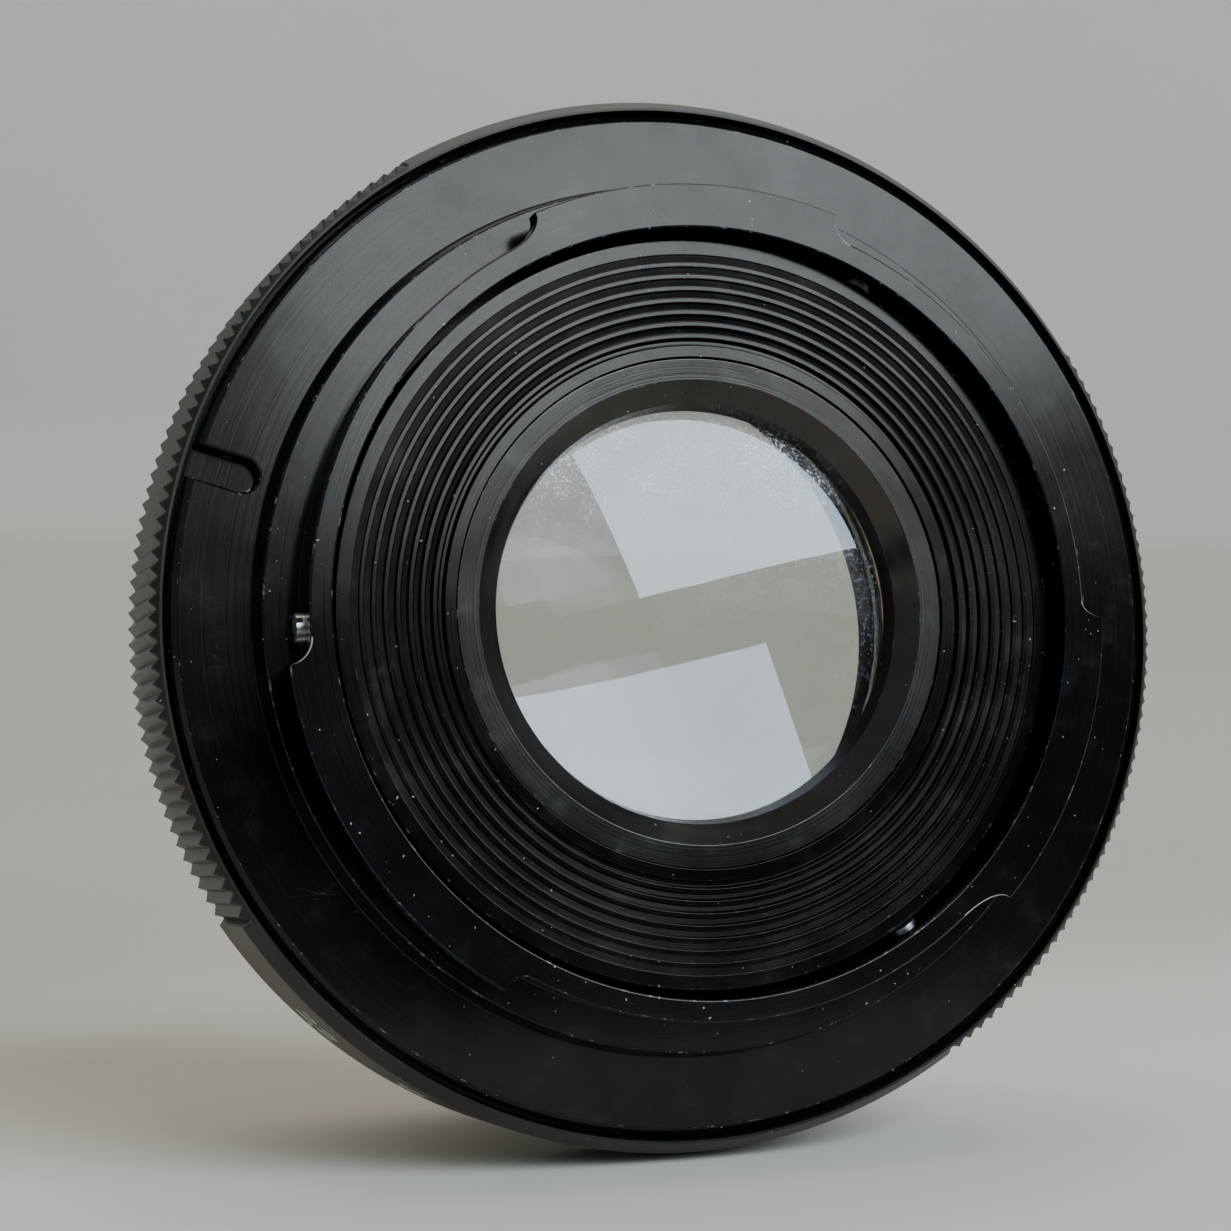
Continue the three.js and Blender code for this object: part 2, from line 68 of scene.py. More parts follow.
# First and last full-height clock angle of each lug, and the length of the curve at each end.
LUGS = [(70.9, 114.7, 3.6, 5.7), (187.2, 238.3, 3.4, 2.2), (316.0, 358.8, 7.0, 2.4)]
NOTCH_ANGLE = 163.2
NOTCH_WIDTH = 1.9
NOTCH_INNER_R = 25.2
NOTCH_DEPTH = 1.3
# Clock angles in degrees between which a lug's end isn't rubbed bright.
UNWORN_ANGLES = ((100, 130), (230, 250))
SET_SCREW_ANGLES = (62.3, 182.3, 302.3)
SET_SCREW_R = 0.8
SET_SCREW_Y = -2.7

GROOVES = 9
GROOVE_PITCH = 0.666
GROOVE_FIRST_R = 14.7

RING_Y = (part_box("aperture_ring")[0].y / MM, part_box("aperture_ring")[1].y / MM)
RING_KNURL_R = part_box("aperture_ring")[1].x / MM
RING_PLAIN_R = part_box("aperture_ring")[1].z / MM
RING_TAPER = 0.5
KNURL_DEPTH = 0.38
KNURL_CENTRES = (167.5, 347.5)
KNURL_SPAN = 91.0
KNURL_TEETH = 54
RING_REAR_R = 29.42
COLLAR_R = 28.6
COLLAR_Y = (9.05, 11.6)
INDEX_ANGLES = (107.5, 287.5)


# ---------------------------------------------------------------- mesh helpers
def clamp(value, low, high):
    return max(low, min(high, value))


def rounded(corners, radius=0.08, steps=3):
    """A closed section with each corner rounded. Gives (r, y, wear), with wear 1 on the outer corners."""
    area = sum(a[0] * b[1] - b[0] * a[1] for a, b in zip(corners, corners[1:] + corners[:1]))
    turn_out = 1 if area > 0 else -1
    points = []
    count = len(corners)
    for i, corner in enumerate(corners):
        own = corner[2] if len(corner) > 2 else radius
        here = Vector(corner[:2])
        back = Vector(corners[i - 1][:2]) - here
        ahead = Vector(corners[(i + 1) % count][:2]) - here
        cross = back.x * ahead.y - back.y * ahead.x
        bend = math.pi - back.angle(ahead)
        if bend < math.radians(8) or own == 0:
            points.append((here.x, here.y, 0.0))
            continue
        reach = min(own * math.tan(bend / 2), 0.42 * back.length, 0.42 * ahead.length)
        start = here + back.normalized() * reach
        end = here + ahead.normalized() * reach
        outer = -cross * turn_out > 0
        for k in range(steps + 1):
            t = k / steps
            wear = 1.0 if outer and 0 < k < steps else 0.0
            p = start * (1 - t) ** 2 + here * 2 * t * (1 - t) + end * t**2
            points.append((p.x, p.y, wear))
    return points


def mesh_object(name, bm, smooth_angle=35):
    """A new object of the mesh, with normals out, smooth shading and flat faces kept flat."""
    bmesh.ops.remove_doubles(bm, verts=bm.verts, dist=1e-7)
    bmesh.ops.dissolve_degenerate(bm, edges=bm.edges, dist=1e-8)
    bmesh.ops.recalc_face_normals(bm, faces=bm.faces)
    mesh = bpy.data.meshes.new(name)
    bm.to_mesh(mesh)
    bm.free()
    obj = bpy.data.objects.new(name, mesh)
    bpy.context.scene.collection.objects.link(obj)
    shade(obj, smooth_angle)
    return obj


def shade(obj, smooth_angle=35):
    """Smooth shading in which the large faces at a corner decide its normal, so flat faces stay flat."""
    mesh = obj.data
    mesh.polygons.foreach_set("use_smooth", [True] * len(mesh.polygons))
    face_count, corner_count = len(mesh.polygons), len(mesh.loops)
    normals = np.empty(face_count * 3)
    areas = np.empty(face_count)
    sizes = np.empty(face_count, dtype=np.int64)
    corner_vert = np.empty(corner_count, dtype=np.int64)
    mesh.polygons.foreach_get("normal", normals)
    mesh.polygons.foreach_get("area", areas)
    mesh.polygons.foreach_get("loop_total", sizes)
    mesh.loops.foreach_get("vertex_index", corner_vert)
    normals = normals.reshape(-1, 3)
    corner_face = np.repeat(np.arange(face_count), sizes)
    order = np.argsort(corner_vert, kind="stable")
    counts = np.bincount(corner_vert, minlength=len(mesh.vertices))
    first = np.concatenate(([0], np.cumsum(counts)[:-1]))
    limit = math.cos(math.radians(smooth_angle))
    result = np.zeros((corner_count, 3))
    own = normals[corner_face]
    # Each corner meets the other corners at its vertex, one step round the vertex at a time.
    place = np.empty(corner_count, dtype=np.int64)
    place[order] = np.arange(corner_count) - np.repeat(first, counts)
    for step in range(int(counts.max())):
        count = counts[corner_vert]
        other = corner_face[order[first[corner_vert] + (place + step) % count]]
        near = np.einsum("ij,ij->i", own, normals[other]) > limit
        weight = np.where((step < count) & near, areas[other] * 1e12, 0.0) ** 2
        result += normals[other] * weight[:, None]
    length = np.linalg.norm(result, axis=1)
    result = np.where(length[:, None] > 0, result / np.maximum(length, 1e-30)[:, None], own)
    mesh.normals_split_custom_set(result)


def apply_modifiers(obj):
    """Puts the result of an object's modifiers into its mesh."""
    bpy.context.view_layer.update()
    graph = bpy.context.evaluated_depsgraph_get()
    mesh = bpy.data.meshes.new_from_object(
        obj.evaluated_get(graph), preserve_all_data_layers=True, depsgraph=graph
    )
    obj.modifiers.clear()
    old = obj.data
    obj.data = mesh
    bpy.data.meshes.remove(old)


def at(r, y, angle):
    """A point in metres from a radius and a station in millimetres and a clock angle in degrees."""
    a = math.radians(angle)
    return Vector((r * math.cos(a) * MM, y * MM, r * math.sin(a) * MM))


def revolve(name, section, angles=None, radius_at=None, smooth_angle=35, wear_at=None):
    """A closed ring or disc from a section of (r, y, wear). Radius and wear can change with the angle."""
    if angles is None:
        angles = [360 * i / AXIS_SEGMENTS for i in range(AXIS_SEGMENTS)]
    bm = bmesh.new()
    wear_layer = bm.verts.layers.float.new("wear")
    rows = []
    for angle in angles:
        row = []
        for index, (r, y, wear) in enumerate(section):
            if radius_at:
                r, y = radius_at(index, r, y, angle)
            vert = bm.verts.new(at(r, y, angle))
            vert[wear_layer] = wear_at(section[index], angle) if wear_at else wear
            row.append(vert)
        rows.append(row)
    for one, two in zip(rows, rows[1:] + rows[:1]):
        for i in range(len(section)):
            j = (i + 1) % len(section)
            # A point on the axis is the same for every angle, so its faces are triangles.
            if section[i][0] < ON_AXIS and section[j][0] < ON_AXIS:
                continue
            if section[i][0] < ON_AXIS:
                bm.faces.new((one[i], two[j], one[j]))
            elif section[j][0] < ON_AXIS:
                bm.faces.new((one[i], two[i], one[j]))
            else:
                bm.faces.new((one[i], two[i], two[j], one[j]))
    return mesh_object(name, bm, smooth_angle)


def meridian(node):
    """The section of a turned CAD node, as its corners (r, y) in millimetres in order round the loop."""
    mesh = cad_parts[node].data
    on_plane = {}
    for v in mesh.vertices:
        if abs(v.co.x) < 2e-6 and v.co.z > -1e-6:
            on_plane[v.index] = (round(v.co.z / MM, 3), round(v.co.y / MM, 3))
    links = {corner: set() for corner in on_plane.values()}
    for edge in mesh.edges:
        a, b = (on_plane.get(i) for i in edge.vertices)
        if a and b and a != b:
            links[a].add(b)
            links[b].add(a)
    ends = [corner for corner, near in links.items() if len(near) == 1]
    for end in ends:
        if len(links[end]) == 1:
            level = [c for c in ends if c != end and abs(c[1] - end[1]) < 2e-3 and len(links[c]) == 1]
            if level:
                mate = min(level, key=lambda c: abs(c[0] - end[0]))
                links[end].add(mate)
                links[mate].add(end)
    start = max(links)
    loop = [start]
    while True:
        onward = [c for c in links[loop[-1]] if c not in loop[-2:]]
        if not onward or onward[0] == start:
            break
        loop.append(onward[0])
        if len(loop) > len(links):
            raise ValueError(f"the section of {node} doesn't close")
    return loop


def close_loops(bm, loops):
    """Joins loops of as many points into one closed body, with a face on the first and the last."""
    for one, two in zip(loops, loops[1:]):
        for i in range(len(one)):
            j = (i + 1) % len(one)
            bm.faces.new((one[i], one[j], two[j], two[i]))
    bm.faces.new(loops[0])
    bm.faces.new(loops[-1])


def cylinder(bm, r, low, high, place):
    """Adds a closed cylinder along Z from low to high, in millimetres, and moves it by a matrix."""
    bmesh.ops.create_cone(
        bm, cap_ends=True, segments=CYLINDER_SIDES, radius1=r * MM, radius2=r * MM,
        depth=(high - low) * MM,
        matrix=place @ Matrix.Translation((0, 0, (low + high) / 2 * MM)),
    )


def radial_place(angle, y):
    """A matrix that takes +Z to the outward radius at a clock angle, at a station in millimetres."""
    out = at(1, 0, angle).normalized()
    along = Vector((0, 1, 0))
    side = along.cross(out)
    turn = Matrix((side, along, out)).transposed().to_4x4()
    return Matrix.Translation((0, y * MM, 0)) @ turn


def cut(obj, cutter):
    """Takes the cutter's volume out of an object and removes the cutter."""
    modifier = obj.modifiers.new("cut", "BOOLEAN")
    modifier.operation = "DIFFERENCE"
    modifier.solver = "EXACT"
    modifier.object = cutter
    apply_modifiers(obj)
    bpy.data.objects.remove(cutter)


# ---------------------------------------------------------------- material helpers
GLASS_IOR = 1.6


class Nodes:
    """A short way to write a material's nodes."""

    def __init__(self, name):
        self.material = bpy.data.materials.new(name)
        self.material.use_nodes = True
        self.tree = self.material.node_tree
        self.tree.nodes.clear()
        self.output = self.tree.nodes.new("ShaderNodeOutputMaterial")

    def add(self, kind, **settings):
        node = self.tree.nodes.new(kind)
        for key, value in settings.items():
            setattr(node, key, value)
        return node

    def put(self, socket, value):
        if isinstance(value, bpy.types.NodeSocket):
            self.tree.links.new(value, socket)
        else:
            socket.default_value = value

    def math(self, operation, a, b=0.0, clamp=False):
        node = self.add("ShaderNodeMath", operation=operation, use_clamp=clamp)
        self.put(node.inputs[0], a)
        self.put(node.inputs[1], b)
        return node.outputs[0]

    def ramp(self, value, low, high, out_low=0.0, out_high=1.0):
        node = self.add("ShaderNodeMapRange", interpolation_type="SMOOTHSTEP")
        for socket, item in zip(node.inputs, (value, low, high, out_low, out_high)):
            self.put(socket, item)
        return node.outputs[0]

    def noise(self, vector, scale, detail=3.0, roughness=0.5, dimensions="3D"):
        node = self.add("ShaderNodeTexNoise", noise_dimensions=dimensions)
        if dimensions == "1D":
            self.put(node.inputs["W"], vector)
        else:
            self.put(node.inputs["Vector"], vector)
        node.inputs["Scale"].default_value = scale
        node.inputs["Detail"].default_value = detail
        node.inputs["Roughness"].default_value = roughness
        return node.outputs["Fac"]

    def position(self):
        return self.add("ShaderNodeTexCoord").outputs["Object"]

    def radius_and_y(self):
        """Radius from the optical axis and Y, from object coordinates."""
        split = self.add("ShaderNodeSeparateXYZ")
        self.put(split.inputs[0], self.position())
        x, y, z = split.outputs
        squares = self.math("ADD", self.math("MULTIPLY", x, x), self.math("MULTIPLY", z, z))
        return self.math("SQRT", squares), y

    def mix(self, factor, a, b):
        node = self.add("ShaderNodeMix", data_type="RGBA")
        self.put(node.inputs[0], factor)
        self.put(node.inputs[6], a)
        self.put(node.inputs[7], b)
        return node.outputs[2]

    def bump(self, height, strength, distance):
        node = self.add("ShaderNodeBump")
        node.inputs["Strength"].default_value = strength
        node.inputs["Distance"].default_value = distance
        self.put(node.inputs["Height"], height)
        return node.outputs[0]

    def finish(self, shader):
        self.put(self.output.inputs["Surface"], shader)
        return self.material


def anodised(name, base=(0.0024, 0.0023, 0.0026), rough=0.3, turning=1.0, dust=1.0, wear=1.0, ior=1.31):
    """Black anodised aluminium: turning marks, uneven dye, dust, small scratches and worn edges."""
    n = Nodes(name)
    place = n.position()
    radius, y = n.radius_and_y()
    # Marks of the lathe tool: fine rings, each as even round the axis as the tool leaves it.
    section = n.math("ADD", radius, n.math("MULTIPLY", y, 1.37))
    rings = n.noise(section, 9000.0, 2.0, 0.7, "1D")
    broad = n.noise(section, 1400.0, 2.0, 0.6, "1D")
    clouds = n.noise(place, 90.0, 4.0, 0.6)
    smears = n.noise(place, 420.0, 3.0, 0.62)
    specks = n.noise(place, 3900.0, 1.0, 0.4)
    grain = n.noise(place, 26000.0, 1.0, 0.5)
    speck = n.math("MULTIPLY", n.ramp(specks, 0.785, 0.815), dust, clamp=True)
    film = n.math("MULTIPLY", n.ramp(smears, 0.5, 0.82), 0.10 * dust)
    # Hairline scratches: thin level sets of a stretched noise, only where a second noise allows them.
    stretched = n.add("ShaderNodeMapping")
    n.put(stretched.inputs["Vector"], place)
    stretched.inputs["Scale"].default_value = (260.0, 260.0, 1500.0)
    stretched.inputs["Rotation"].default_value = (0.0, 0.6, 0.4)
    lines = n.noise(stretched.outputs[0], 1.0, 1.0, 0.5)
    hairline = n.ramp(n.math("ABSOLUTE", n.math("SUBTRACT", lines, 0.5)), 0.004, 0.0015)
    scratch = n.math("MULTIPLY", n.math("MULTIPLY", hairline, n.ramp(clouds, 0.60, 0.72)), 0.16 * wear)
    edge = n.add("ShaderNodeAttribute", attribute_name="wear").outputs["Fac"]
    chipped = n.ramp(n.noise(place, 1500.0, 3.0, 0.7), 0.56, 0.68)
    rubbed = n.math("MULTIPLY", n.ramp(edge, 1.4, 2.6), n.ramp(chipped, 0.0, 0.05, 0.55, 1.0))
    bare = n.math("MULTIPLY", n.math("MULTIPLY", edge, chipped), 0.5 * wear, clamp=True)
    bare = n.math("MAXIMUM", bare, rubbed)

    paler = (base[0] * 1.5, base[1] * 1.25, base[2] * 1.55, 1)
    bluer = (base[0] * 0.7, base[1] * 1.7, base[2] * 1.6, 1)
    dye = n.mix(n.ramp(clouds, 0.35, 0.7), (*base, 1), paler)
    dye = n.mix(n.math("MULTIPLY", n.ramp(smears, 0.45, 0.7), 0.5), dye, bluer)
    dusty = n.mix(film, dye, (0.045, 0.043, 0.042, 1))
    dusty = n.mix(speck, dusty, (0.24, 0.235, 0.23, 1))
    color = n.mix(n.math("MAXIMUM", bare, scratch), dusty, (0.30, 0.295, 0.29, 1))
    color = n.mix(rubbed, color, (0.72, 0.71, 0.69, 1))
    metal = n.math("MULTIPLY", bare, 0.7)

    gloss = n.math("ADD", rough, n.math("MULTIPLY", n.math("SUBTRACT", rings, 0.5), 0.16 * turning))
    gloss = n.math("ADD", gloss, n.math("MULTIPLY", n.math("SUBTRACT", clouds, 0.5), 0.16))
    gloss = n.math("ADD", gloss, n.math("MULTIPLY", n.math("MAXIMUM", film, rubbed), 0.5))
    gloss = n.math("ADD", gloss, n.math("MULTIPLY", speck, 0.4), clamp=True)

    relief = n.math("ADD", n.math("MULTIPLY", rings, 0.6 * turning), n.math("MULTIPLY", broad, 0.7 * turning))
    relief = n.math("ADD", relief, n.math("MULTIPLY", grain, 0.25))
    relief = n.math("ADD", relief, n.math("MULTIPLY", speck, 1.2))
    normal = n.bump(relief, 0.22, 0.000012)

    shader = n.add("ShaderNodeBsdfPrincipled")
    n.put(shader.inputs["Base Color"], color)
    n.put(shader.inputs["Metallic"], metal)
    n.put(shader.inputs["Roughness"], gloss)
    n.put(shader.inputs["Normal"], normal)
    shader.inputs["IOR"].default_value = ior
    shader.inputs["Specular Tint"].default_value = (1.0, 0.88, 0.76, 1)
    # The sheen is a little uneven at two fine scales, as the etched surface under the dye is.
    etch = n.noise(place, 9000.0, 3.0, 0.75)
    patches = n.math("ADD", n.math("MULTIPLY", etch, 0.42), n.math("MULTIPLY", smears, 0.22))
    n.put(shader.inputs["Specular IOR Level"], n.math("ADD", patches, n.math("MULTIPLY", clouds, 0.5)))
    return n.finish(shader.outputs[0])


def bare_metal(name, color, rough=0.28, stain=(0.12, 0.1, 0.08)):
    """Bare turned or ground metal with fine scratches and dull stains."""
    n = Nodes(name)
    place = n.position()
    clouds = n.noise(place, 900.0, 4.0, 0.65)
    fine = n.noise(place, 12000.0, 2.0, 0.6)
    dull = n.math("MULTIPLY", n.ramp(clouds, 0.48, 0.66), 0.35)
    tone = n.mix(fine, tuple(c * 0.8 for c in color) + (1,), tuple(min(1, c * 1.15) for c in color) + (1,))
    shader = n.add("ShaderNodeBsdfPrincipled")
    n.put(shader.inputs["Base Color"], n.mix(dull, tone, (*stain, 1)))
    shader.inputs["Metallic"].default_value = 1.0
    scratched = n.math("ADD", rough, n.math("MULTIPLY", fine, 0.1))
    n.put(shader.inputs["Roughness"], n.math("ADD", n.math("MULTIPLY", dull, 0.4), scratched))
    n.put(shader.inputs["Normal"], n.bump(fine, 0.3, 0.000008))
    return n.finish(shader.outputs[0])


def paint(name, color, loss):
    """Engraver's paint, thin and chipped, over black anodising."""
    n = Nodes(name)
    place = n.position()
    chips = n.ramp(n.noise(place, 2600.0, 4.0, 0.7), loss, loss + 0.12)
    grime = n.noise(place, 1200.0, 3.0, 0.6)
    tone = n.mix(grime, tuple(c * 0.65 for c in color) + (1,), (*color, 1))
    shader = n.add("ShaderNodeBsdfPrincipled")
    n.put(shader.inputs["Base Color"], n.mix(chips, tuple(c * 0.2 + 0.004 for c in color) + (1,), tone))
    n.put(shader.inputs["Roughness"], n.math("ADD", 0.5, n.math("MULTIPLY", grime, 0.2)))
    n.put(shader.inputs["Normal"], n.bump(chips, 0.4, 0.00001))
    return n.finish(shader.outputs[0])


def optical_glass(name, dust, coating, tint=(0.97, 0.955, 0.93), gleam=(0.97, 0.955, 0.93)):
    """Clear glass with dust and haze, and a coating that holds back a part of each reflection."""
    n = Nodes(name)
    place = n.position()
    glass = n.add("ShaderNodeBsdfGlass", distribution="GGX")
    glass.inputs["Color"].default_value = (*gleam, 1)
    glass.inputs["Roughness"].default_value = 0.0
    glass.inputs["IOR"].default_value = GLASS_IOR
    passing = n.add("ShaderNodeBsdfRefraction", distribution="GGX")
    passing.inputs["Color"].default_value = (*tint, 1)
    passing.inputs["Roughness"].default_value = 0.0
    passing.inputs["IOR"].default_value = GLASS_IOR
    coated = n.add("ShaderNodeMixShader")
    coated.inputs[0].default_value = coating
    n.put(coated.inputs[1], glass.outputs[0])
    n.put(coated.inputs[2], passing.outputs[0])
    wipe = n.noise(place, 260.0, 4.0, 0.7)
    fine = n.noise(place, 5200.0, 2.0, 0.55)
    finer = n.noise(place, 14000.0, 1.0, 0.5)
    patch = n.ramp(n.noise(place, 130.0, 3.0, 0.6), 0.42, 0.62)
    speck = n.ramp(fine, 0.58, 0.64)
    small = n.math("MULTIPLY", n.ramp(finer, 0.60, 0.67), 0.6)
    patchy = n.math("ADD", 0.25, n.math("MULTIPLY", patch, 0.75))
    dots = n.math("MULTIPLY", n.math("MAXIMUM", speck, small), patchy)
    # Haze and dust gather towards the top of the glass.
    split = n.add("ShaderNodeSeparateXYZ")
    n.put(split.inputs[0], place)
    high = n.ramp(n.math("ADD", split.outputs[2], n.math("MULTIPLY", wipe, 0.006)), 0.004, 0.013)
    dots = n.math("MULTIPLY", dots, n.math("ADD", 0.1, high))
    veil = n.math("MULTIPLY", n.ramp(wipe, 0.35, 0.75), n.math("ADD", 0.02, n.math("MULTIPLY", high, 0.15)))
    cover = n.math("MULTIPLY", n.math("ADD", n.math("MULTIPLY", dots, 0.7), veil), dust, clamp=True)
    dirt = n.add("ShaderNodeBsdfDiffuse")
    dirt.inputs["Color"].default_value = (0.82, 0.84, 0.86, 1)
    blend = n.add("ShaderNodeMixShader")
    n.put(blend.inputs[0], cover)
    n.put(blend.inputs[1], coated.outputs[0])
    n.put(blend.inputs[2], dirt.outputs[0])
    return n.finish(blend.outputs[0])


def dress(obj, material, body, replaces=()):
    """Gives a piece its material and says what it rides on, stands for and takes its finish from."""
    obj.data.materials.clear()
    obj.data.materials.append(material)
    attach(obj, body)
    if replaces:
        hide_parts(*replaces)


# ---------------------------------------------------------------- materials
mount_black = anodised("mount_black", rough=0.14)
ring_black = anodised("ring_black", base=(0.007, 0.0068, 0.007), rough=0.36, dust=1.3, wear=0.6)
cell_black = anodised(
    "cell_black", base=(0.0012, 0.0012, 0.0014), rough=0.16, turning=0.7, dust=0.9, wear=0.5
)
retainer_black = anodised("retainer_black", base=(0.004, 0.004, 0.0043), rough=0.17, ior=1.5)
barrel_black = anodised("barrel_black", base=(0.006, 0.0058, 0.0061), rough=0.33)
trim_black = anodised("trim_black", base=(0.005, 0.005, 0.0055), rough=0.3, dust=0.6)
blade_black = anodised("blade_black", base=(0.012, 0.012, 0.013), rough=0.38, turning=0.3, wear=0.6)
steel = bare_metal("worn_steel", (0.62, 0.62, 0.61))
brass = bare_metal("turned_brass", (0.70, 0.50, 0.24), rough=0.3, stain=(0.16, 0.1, 0.05))
red_paint = paint("index_red", (0.36, 0.012, 0.012), loss=0.4)
white_paint = paint("scale_white", (0.66, 0.65, 0.62), loss=0.36)
rear_glass = optical_glass(
    "rear_glass", dust=1.0, coating=0.05, tint=(1.0, 0.9, 0.6), gleam=(0.93, 0.96, 1.0)
)
inner_glass = optical_glass("inner_glass", dust=0.1, coating=0.85)
front_glass = optical_glass("front_glass", dust=0.25, coating=0.7)


# ---------------------------------------------------------------- bayonet mount
def lug_height(angle):
    """How far, from 0 to 1, a lug stands out of the tube at a clock angle. Each end is a hollow sweep."""
    for start, end, lead_in, lead_out in LUGS:
        a = (angle - start + lead_in + 0.5) % 360 + start - lead_in - 0.5
        if start <= a <= end:
            return 1.0
        if start - lead_in < a < start:
            return 1 - math.sqrt(1 - (1 - (start - a) / lead_in) ** 2)
        if end < a < end + lead_out:
            return 1 - math.sqrt(1 - (1 - (a - end) / lead_out) ** 2)
    return 0.0


def lug_wear(point, angle):
    """Wear on the mount's corners, heaviest where the ends of the lugs rub in the holder."""
    r, y, wear = point
    on_lug = r > TUBE_R + 0.5 and y < TUBE_REAR_Y + 0.3
    unworn = any(low < angle < high for low, high in UNWORN_ANGLES)
    if on_lug and 0 < lug_height(angle) < 0.999 and not unworn:
        return 3.0 if wear else 0.0
    return wear


def bayonet_angles():
    """Clock angles of the mount's columns, closer together where the lugs' ends curve."""
    angles = {round(360 * i / AXIS_SEGMENTS, 3) for i in range(AXIS_SEGMENTS)}
    for start, end, lead_in, lead_out in LUGS:
        for corner, run in ((start, -lead_in), (end, lead_out)):
            sweep = [corner + run * (1 - math.sin(math.radians(5 * k))) for k in range(19)]
            angles.update(round(a % 360, 4) for a in sweep)
    return sorted(angles)


def notch_cutter():
    """A closed cutter for the lock pin's slot, flared where it meets the flange's face."""
    half = NOTCH_WIDTH / 2
    end_r = NOTCH_INNER_R + half
    edge = 0.12
    outline = [(FLANGE_R + 1, half), (end_r, half)]
    for k in range(1, 16):
        bend = math.pi * k / 16
        outline.append((end_r - half * math.sin(bend), half * math.cos(bend)))
    outline += [(end_r, -half), (FLANGE_R + 1, -half)]
    levels = [(-0.5, 0.62), (0.0, edge), (edge, 0.0), (NOTCH_DEPTH - edge, 0.0), (NOTCH_DEPTH, -edge)]
    turn = Matrix.Rotation(-math.radians(NOTCH_ANGLE), 3, "Y")
    notch = bmesh.new()
    loops = []
    for y, grow in levels:
        scale = (half + grow) / half
        loop = []
        for r, side in outline:
            grown_r = end_r + (r - end_r) * scale if r < end_r else r
            loop.append(notch.verts.new(turn @ Vector((grown_r * MM, y * MM, side * scale * MM))))
        loops.append(loop)
    close_loops(notch, loops)
    return mesh_object("notch_cutter", notch)


def make_bayonet():
    lug_front_y = TUBE_REAR_Y + LUG_THICK
    edge = 0.12
    corners = [
        (TUBE_BORE, FLANGE_FRONT_Y),
        (FLANGE_R, FLANGE_FRONT_Y),
        (FLANGE_R, 0.42, 0.1),
        (FLANGE_R - 0.46, 0, 0.12),
        (BOSS_R, 0, 0.1),
        (BOSS_TOP_R, BOSS_Y, 0.14),
        (TUBE_R, BOSS_Y, 0.1),
        (TUBE_R, lug_front_y, 0.001),
        (LUG_R, lug_front_y, 0.1),
        (LUG_R, TUBE_REAR_Y, edge),
        (TUBE_BORE, TUBE_REAR_Y, 0.1),
    ]
    section = rounded(corners)

    def radius_at(index, r, y, angle):
        if r > TUBE_R and y < lug_front_y + 0.0005:
            height = lug_height(angle)
            proud = (r - TUBE_R) * height
            if height < 0.999 and y < TUBE_REAR_Y + 0.2:
                # Where there is no lug, the tube's own rear edge takes the rounding.
                proud -= edge * (1 - height) * clamp((TUBE_REAR_Y + edge - y) / edge, 0, 1)
            return TUBE_R + proud, y
        return r, y

    mount = revolve("bayonet_flange_and_lugs", section, bayonet_angles(), radius_at, wear_at=lug_wear)
    cut(mount, notch_cutter())
    holes = bmesh.new()
    for angle in SET_SCREW_ANGLES:
        place = radial_place(angle, SET_SCREW_Y)
        cylinder(holes, SET_SCREW_R + 0.05, TUBE_BORE - 0.5, TUBE_R + 1.6, place)
    cut(mount, mesh_object("hole_cutter", holes))
    shade(mount)
    dress(mount, mount_black, "barrel", ["bayonet_mount"])


def make_set_screws():
    foot_r, head_r = 20.95, 22.75
    slot_width, slot_depth, slot_turn = 0.32, 0.35, 0.5
    bevel_width = 0.07
    for number, angle in enumerate(SET_SCREW_ANGLES, 1):
        place = radial_place(angle, SET_SCREW_Y)
        bm = bmesh.new()
        cylinder(bm, SET_SCREW_R, foot_r, head_r, place)
        body = mesh_object(f"set_screw_head_{number}", bm)
        slot = bmesh.new()
        bmesh.ops.create_cube(slot, size=1.0)
        bmesh.ops.scale(slot, vec=(slot_width * MM, 3 * MM, 2 * slot_depth * MM), verts=slot.verts)
        on_head = place @ Matrix.Translation((0, 0, head_r * MM)) @ Matrix.Rotation(slot_turn, 4, "Z")
        bmesh.ops.transform(slot, matrix=on_head, verts=slot.verts)
        cut(body, mesh_object("slot_cutter", slot))
        bevel = body.modifiers.new("edges", "BEVEL")
        bevel.width = bevel_width * MM
        bevel.segments = 2
        bevel.limit_method = "ANGLE"
        apply_modifiers(body)
        shade(body)
        dress(body, steel, "barrel", [f"mount_set_screw_{number}"])


def make_index_mark():
    """The red alignment mark, a small drop of paint on the tube's wall."""
    centre, half_angle, middle_y, half_height = 133.3, 1.5, -3.4, 0.8
    lift, swell, sunk = 0.002, 0.035, 0.05
    columns, rows = 12, 8
    bm = bmesh.new()

    def layer(radius_at):
        lines = []
        for i in range(columns + 1):
            u = -1 + 2 * i / columns
            line = []
            for j in range(rows + 1):
                v = -1 + 2 * j / rows
                point = at(radius_at(u, v), middle_y + v * half_height, centre + u * half_angle)
                line.append(bm.verts.new(point))
            lines.append(line)
        return lines

    grid = layer(lambda u, v: TUBE_R + lift + swell * (1 - max(abs(u), abs(v)) ** 4))
    base = layer(lambda u, v: TUBE_R - sunk)
    for i in range(columns):
        for j in range(rows):
            bm.faces.new((grid[i][j], grid[i + 1][j], grid[i + 1][j + 1], grid[i][j + 1]))
            bm.faces.new((base[i][j], base[i][j + 1], base[i + 1][j + 1], base[i + 1][j]))
    for i in range(columns):
        bm.faces.new((grid[i][0], base[i][0], base[i + 1][0], grid[i + 1][0]))
        bm.faces.new((grid[i][rows], grid[i + 1][rows], base[i + 1][rows], base[i][rows]))
    for j in range(rows):
        bm.faces.new((grid[0][j], grid[0][j + 1], base[0][j + 1], base[0][j]))
        bm.faces.new((grid[columns][j], base[columns][j], base[columns][j + 1], grid[columns][j + 1]))
    dress(mesh_object("index_mark", bm), red_paint, "barrel")


